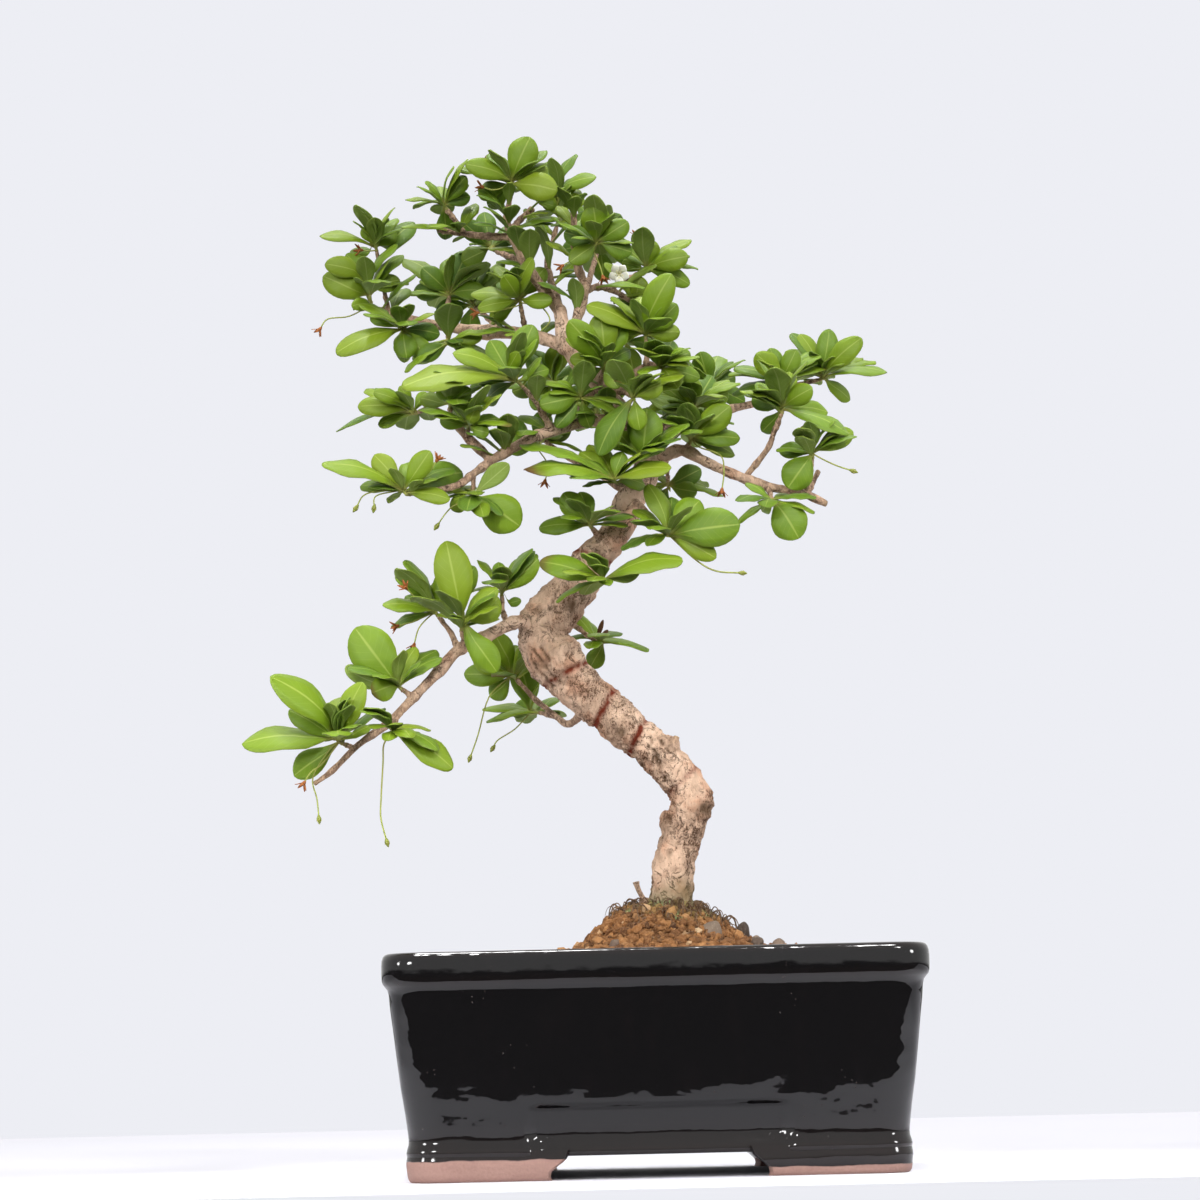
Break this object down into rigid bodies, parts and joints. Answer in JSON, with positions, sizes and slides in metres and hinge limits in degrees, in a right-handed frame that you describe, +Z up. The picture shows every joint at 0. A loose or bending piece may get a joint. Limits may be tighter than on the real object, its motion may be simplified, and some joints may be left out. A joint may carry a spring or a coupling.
{
  "type": "fukien tea bonsai",
  "caption": "Bonsai tree with a curved trunk, bare cut twigs and leafy green shoots, in a low rectangular glazed pot on corner feet.",
  "frame": {"origin": "centre of the object's box in x and y, at the underside of the pot's feet", "axes": "+Z up, -Y towards the pot's front long side, +X along the pot's length to its right"},
  "size_m": [0.2622, 0.1662, 0.4216],
  "materials": {
    "glaze": "gloss",
    "mesh": "matte",
    "soil": "matte",
    "bark": "matte",
    "petals": "matte",
    "leaf_bright": "satin",
    "leaf_green": "satin",
    "leaf_dark": "satin"
  },
  "bodies": {
    "root": {"pot": "glaze", "drain_mesh_left": "mesh", "drain_mesh_right": "mesh", "soil": "soil", "wood": "bark", "flower": "petals", "leaves_lower_left_tip": "leaf_green", "leaves_lower_left_middle": "leaf_green", "leaves_lower_left_hanging": "leaf_bright", "leaves_lower_left_up": "leaf_green", "leaves_lower_left_side": "leaf_bright", "leaves_lower_left_inner": "leaf_green", "leaves_behind_low": "leaf_green", "leaves_behind_high": "leaf_green", "leaves_dry_twig": "leaf_green", "leaves_knob": "leaf_green", "leaves_front_low": "leaf_bright", "leaves_right_fork": "leaf_green", "leaves_right_low_first": "leaf_dark", "leaves_right_low_back": "leaf_dark", "leaves_right_low_second": "leaf_green", "leaves_right_low_under": "leaf_green", "leaves_right_low_end": "leaf_green", "leaves_right_high": "leaf_green", "leaves_right_high_up": "leaf_green", "leaves_right_high_inner": "leaf_green", "leaves_right_high_back": "leaf_dark", "leaves_left_middle_upper": "leaf_green", "leaves_left_middle_upper_twig": "leaf_green", "leaves_left_middle_inner": "leaf_green", "leaves_left_middle_lower": "leaf_bright", "leaves_left_middle_stub": "leaf_green", "leaves_left_middle_front": "leaf_green", "leaves_left_middle_thin": "leaf_dark", "leaves_left_middle_high": "leaf_dark", "leaves_left_high": "leaf_green", "leaves_left_high_shoot": "leaf_bright", "leaves_left_high_under": "leaf_green", "leaves_left_high_low": "leaf_dark", "leaves_left_high_back": "leaf_dark", "leaves_left_high_inner": "leaf_dark", "leaves_left_high_up": "leaf_bright", "leaves_top_left": "leaf_green", "leaves_top_left_cut_up": "leaf_green", "leaves_top_left_back": "leaf_dark", "leaves_top_middle": "leaf_green", "leaves_top_right_twig": "leaf_green", "leaves_top_right_side": "leaf_green", "leaves_top_right_far": "leaf_green", "leaves_top_right_back": "leaf_dark", "leaves_crown_right_shoot": "leaf_green", "leaves_crown_right": "leaf_green", "leaves_crown_front": "leaf_green", "leaves_crown_left": "leaf_green", "leaves_crown_drooping": "leaf_green", "leaves_crown_back": "leaf_dark", "leaves_front_upright": "leaf_green", "leaves_front_middle": "leaf_green", "leaves_back_middle": "leaf_dark", "leaves_back_right": "leaf_dark"}
  },
  "joints": []
}
